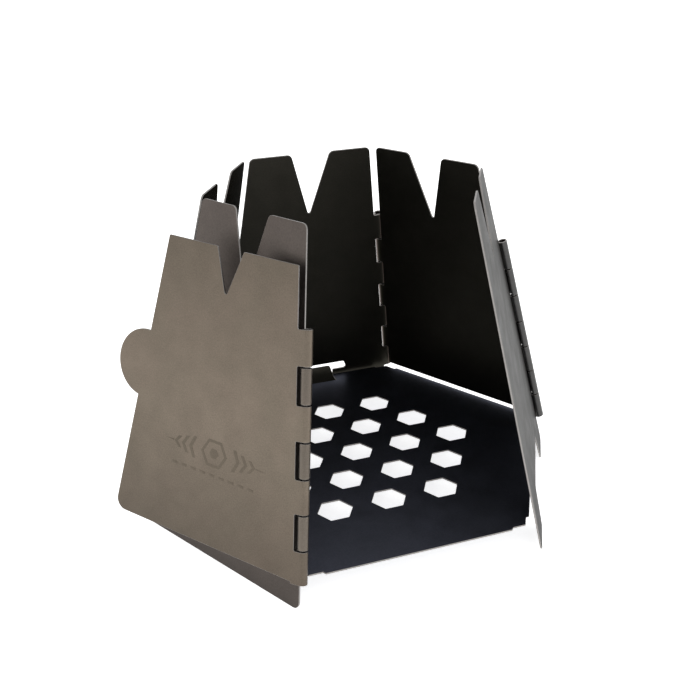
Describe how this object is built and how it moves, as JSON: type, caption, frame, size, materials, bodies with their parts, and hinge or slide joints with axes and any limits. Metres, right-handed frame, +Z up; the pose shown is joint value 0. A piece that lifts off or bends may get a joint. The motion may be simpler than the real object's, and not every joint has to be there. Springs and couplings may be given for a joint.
{
  "type": "folding hexagonal wood stove",
  "caption": "Six-sided folding camp stove and windscreen of thin sheet titanium: leaning hinged panels with notched tops, a hinged door and a perforated floor plate.",
  "frame": {"origin": "on the ground under the middle of the object's bounding box", "axes": "+Z up, -Y out of the door opening, +X towards the side without the door"},
  "size_m": [0.1516, 0.1264, 0.102],
  "materials": {
    "panel_titanium": "satin, oxide-toned titanium sheet",
    "floor_titanium": "satin, dark oxidised titanium sheet",
    "pin_titanium": "drawn titanium wire"
  },
  "bodies": {
    "rear": {"rear_panel": "panel_titanium", "rear_right_hinge_pin": "pin_titanium"},
    "rear_right": {"rear_right_panel": "panel_titanium", "right_hinge_pin": "pin_titanium"},
    "right": {"right_panel": "panel_titanium"},
    "rear_left": {"rear_left_panel": "panel_titanium", "rear_left_hinge_pin": "pin_titanium"},
    "front_left": {"front_left_panel": "panel_titanium", "left_hinge_pin": "pin_titanium"},
    "door": {"door": "panel_titanium", "door_hinge_pin": "pin_titanium"},
    "floor": {"floor_plate": "floor_titanium"}
  },
  "joints": [
    {"name": "rear_right_hinge", "type": "hinge", "parent": "rear", "child": "rear_right", "pos_m": [0.04056, 0.06385, 0.00044], "axis": [-0.1341, -0.2323, 0.9634], "range_deg": [0, 58.5]},
    {"name": "rear_left_hinge", "type": "hinge", "parent": "rear", "child": "rear_left", "pos_m": [-0.03277, 0.06385, 0.00044], "axis": [0.1341, -0.2323, 0.9634], "range_deg": [-58.26, 0]},
    {"name": "floor_fold", "type": "hinge", "parent": "rear", "child": "floor", "pos_m": [0.0039, 0.05855, 0.01144], "axis": [-1, 0, 0], "range_deg": [0, 75]},
    {"name": "left_hinge", "type": "hinge", "parent": "rear_left", "child": "front_left", "pos_m": [-0.06943, 0.00035, 0.00044], "axis": [0.2682, 0, 0.9634], "range_deg": [-68, 1.2]},
    {"name": "right_hinge", "type": "hinge", "parent": "rear_right", "child": "right", "pos_m": [0.07679, 0.00011, 0.00032], "axis": [-0.2667, 0.0009, 0.9638], "range_deg": [-1, 231.5]},
    {"name": "door_hinge", "type": "hinge", "parent": "front_left", "child": "door", "pos_m": [-0.03405, -0.06387, 0.0008], "axis": [0.1388, 0.235, 0.962], "range_deg": [-9.5, 227.6]}
  ],
  "couplings": [
    {"joint": "rear_left_hinge", "follows": "rear_right_hinge", "ratio": -0.99419},
    {"joint": "floor_fold", "follows": "rear_right_hinge", "ratio": 1.282}
  ]
}
